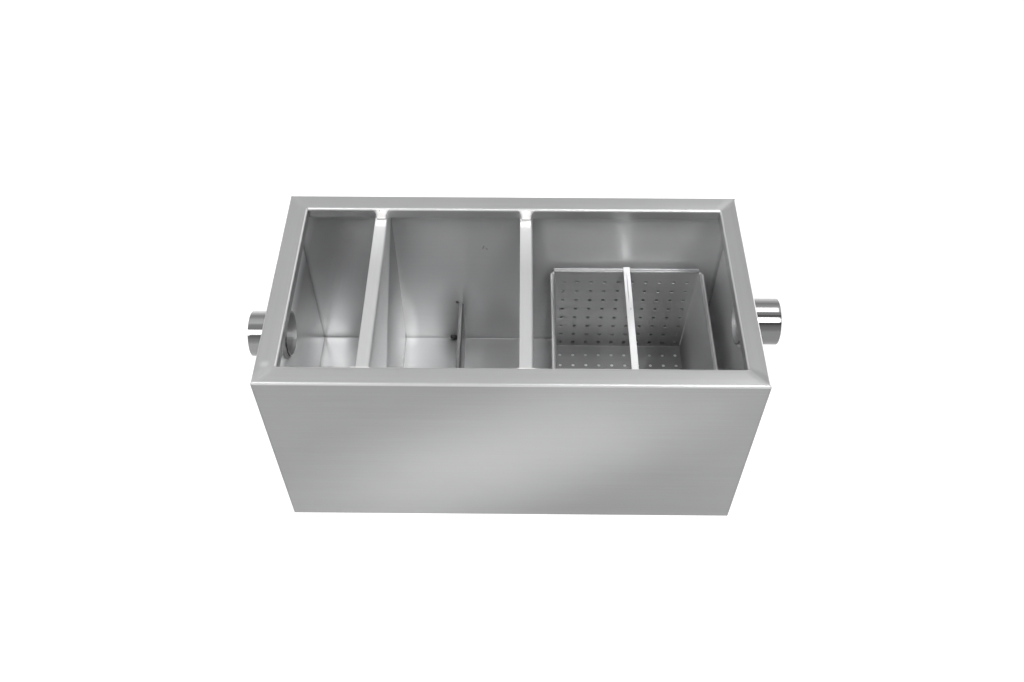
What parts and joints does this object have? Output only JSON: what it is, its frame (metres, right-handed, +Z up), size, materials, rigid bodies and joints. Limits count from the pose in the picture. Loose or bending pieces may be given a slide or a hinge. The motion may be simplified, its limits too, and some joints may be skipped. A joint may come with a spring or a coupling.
{
  "type": "grease trap",
  "caption": "Open-topped stainless steel grease trap with chambers divided by underflow partitions and a low baffle, side pipe stubs and a loose perforated strainer basket.",
  "frame": {"origin": "under the middle of the tank, on the surface it stands on", "axes": "+X along the tank towards the inlet pipe, -X towards the outlet pipe, front at -Y, +Z up out of the open top"},
  "size_m": [0.688, 0.316, 0.304],
  "materials": {
    "tank_steel": "satin, brushed along the sheet",
    "partition_steel": "satin, brushed along the sheet",
    "pipe_steel": "polished tube",
    "basket_steel": "satin perforated sheet",
    "handle_steel": "bright flat bar",
    "weld_steel": "dressed weld bead"
  },
  "bodies": {
    "root": {"tank_body": "tank_steel", "inlet_end_panel": "tank_steel", "outlet_end_panel": "tank_steel", "inlet_partition": "partition_steel", "outlet_partition": "partition_steel", "low_baffle": "partition_steel", "inlet_pipe": "pipe_steel", "outlet_pipe": "pipe_steel", "inlet_weld_outside": "weld_steel", "inlet_weld_inside": "weld_steel", "outlet_weld_outside": "weld_steel", "outlet_weld_inside": "weld_steel", "outlet_partition_weld_front": "weld_steel", "outlet_partition_weld_back": "weld_steel", "inlet_partition_weld_front": "weld_steel", "inlet_partition_weld_back": "weld_steel", "basket_sleeve": "basket_steel", "basket_left_end": "basket_steel", "basket_right_end": "basket_steel", "basket_handle": "handle_steel"}
  },
  "joints": []
}
